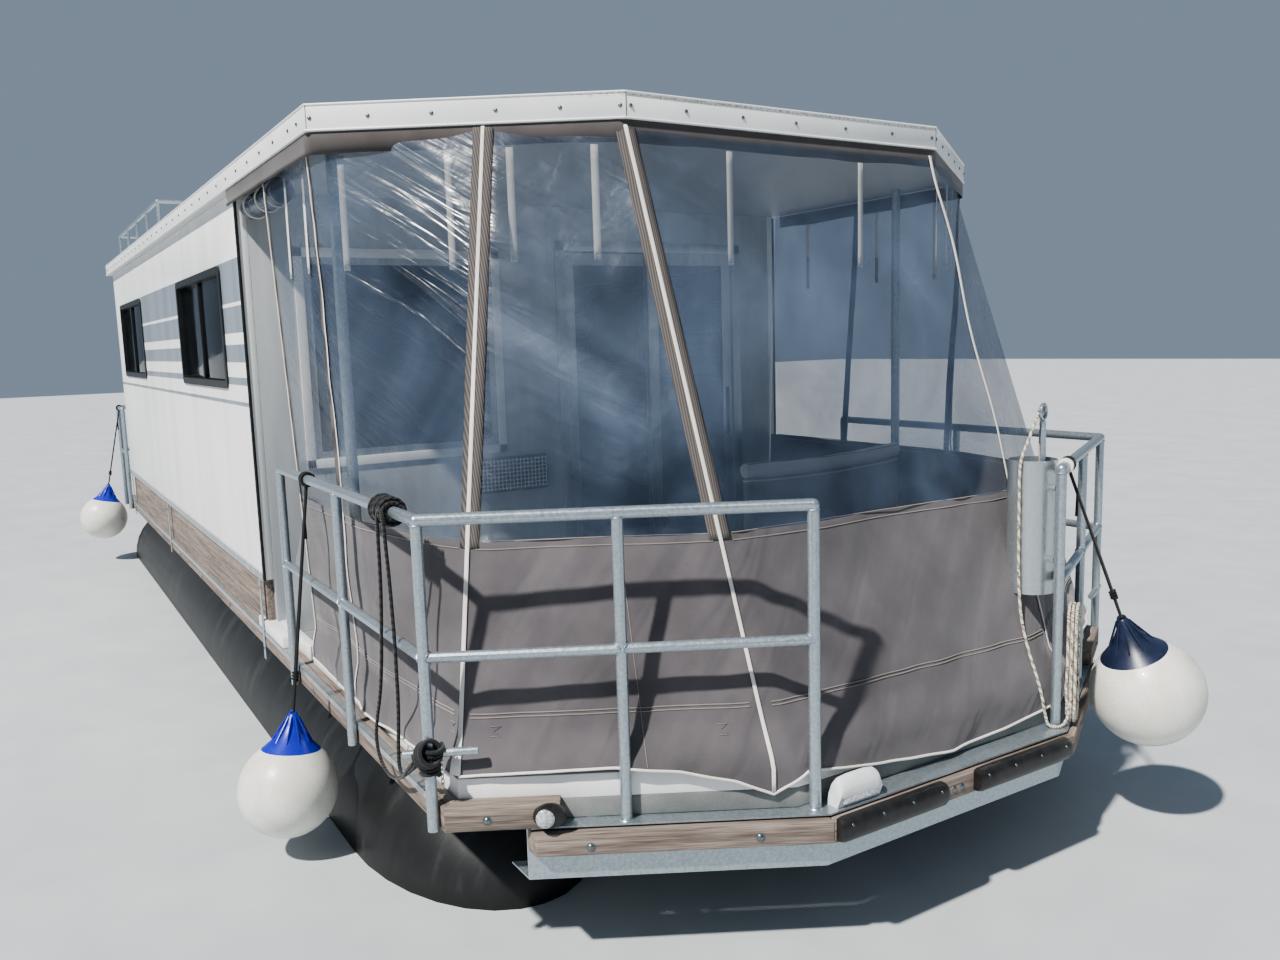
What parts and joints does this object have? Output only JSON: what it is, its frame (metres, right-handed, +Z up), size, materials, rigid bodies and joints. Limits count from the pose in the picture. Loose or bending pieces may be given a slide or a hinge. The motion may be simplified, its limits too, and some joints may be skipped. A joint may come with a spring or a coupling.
{
  "type": "houseboat",
  "caption": "Houseboat on two round pontoons, with a flat-roofed panel cabin, a bow terrace under a zipped canvas tent, tube rails, ball fenders and an outboard motor.",
  "frame": {"origin": "on the waterline, amidships, on the centreline", "axes": "+X towards the bow, +Y to port, +Z up"},
  "size_m": [10.6966, 4.1211, 3.952],
  "materials": {
    "hull_steel": "dull paint with rust streaks",
    "galvanised": "galvanised, matt",
    "weathered_wood": "grey, weathered",
    "deck_paint": "non-slip paint",
    "white_panel": "satin",
    "black_rubber": "matt",
    "dark_glass": "polished",
    "door_frame": "satin",
    "canvas": "woven, coated",
    "fender_vinyl": "satin",
    "motor_black": "gloss",
    "propeller_metal": "bare",
    "lens": "clear",
    "black_rope": "braided rope",
    "ivory_rope": "laid rope"
  },
  "bodies": {
    "hull": {"pontoon_starboard": "hull_steel", "pontoon_port": "hull_steel", "deck_frame": "galvanised", "deck": "deck_paint", "rub_timber_starboard": "weathered_wood", "rub_timber_port": "weathered_wood", "ledge_timber_starboard": "weathered_wood", "ledge_timber_front": "weathered_wood", "ledge_timber_port": "weathered_wood", "bow_bumper_starboard": "black_rubber", "bow_bumper_port": "black_rubber", "coaming": "white_panel", "sill_plank_starboard": "weathered_wood", "sill_plank_port": "weathered_wood", "bow_rail_starboard": "galvanised", "bow_rail_port": "galvanised", "stern_rail_starboard": "galvanised", "stern_rail_port": "galvanised", "wall_starboard": "white_panel", "wall_port": "white_panel", "window_starboard_fore": "dark_glass", "window_starboard_aft": "dark_glass", "window_port_fore": "dark_glass", "window_port_aft": "dark_glass", "wall_front": "white_panel", "window_front": "dark_glass", "front_door_fixed_leaf": "door_frame", "wall_stern": "white_panel", "roof": "white_panel", "roof_post_starboard": "galvanised", "roof_post_port": "galvanised", "roof_rail": "galvanised", "stern_ladder": "galvanised", "tent_front": "canvas", "tent_bow_starboard": "canvas", "tent_bow_port": "canvas", "tent_side_starboard": "canvas", "tent_side_port": "canvas", "tent_door_roll": "canvas", "anchor_tube": "galvanised", "anchor": "galvanised", "fender_starboard_bow": "fender_vinyl", "fender_starboard_stern": "fender_vinyl", "fender_port_bow": "fender_vinyl", "mooring_post_winding": "black_rope", "mooring_rail_winding": "black_rope", "mooring_rope": "black_rope", "anchor_rope": "ivory_rope", "anchor_rope_hank": "ivory_rope", "ledge_lamp": "lens", "terrace_bench": "canvas", "helm_console": "white_panel", "transom_board": "weathered_wood", "motor_clamp": "motor_black"},
    "front_door": {"front_door_leaf": "door_frame"},
    "stern_door": {"stern_door_leaf": "door_frame"},
    "helm": {"helm_wheel": "black_rubber"},
    "motor_bracket": {"motor_swivel": "motor_black"},
    "motor": {"motor_unit": "motor_black"},
    "screw": {"propeller": "propeller_metal"}
  },
  "joints": [
    {"name": "front_door_slide", "type": "slide", "parent": "hull", "child": "front_door", "axis": [0, 1, 0], "range_m": [0, 0.56]},
    {"name": "stern_door_hinge", "type": "hinge", "parent": "hull", "child": "stern_door", "pos_m": [-4.404, 1.137, 1.64], "axis": [0, 0, 1], "range_deg": [0, 100]},
    {"name": "helm_turn", "type": "hinge", "parent": "hull", "child": "helm", "pos_m": [1.3212, -0.9, 1.5148], "axis": [-0.7682, 0, 0.6402], "range_deg": [-540, 540]},
    {"name": "motor_tilt", "type": "hinge", "parent": "hull", "child": "motor_bracket", "pos_m": [-5.11, 0, 0.67], "axis": [0, 1, 0], "range_deg": [0, 60]},
    {"name": "motor_steer", "type": "hinge", "parent": "motor_bracket", "child": "motor", "pos_m": [-5.19, 0, 0.5], "axis": [0, 0, 1], "range_deg": [-35, 35]},
    {"name": "propeller_spin", "type": "hinge", "parent": "motor", "child": "screw", "pos_m": [-5.447, 0, -0.43], "axis": [1, 0, 0], "continuous": true}
  ],
  "couplings": [
    {"joint": "motor_steer", "follows": "helm_turn", "ratio": 0.0648}
  ]
}
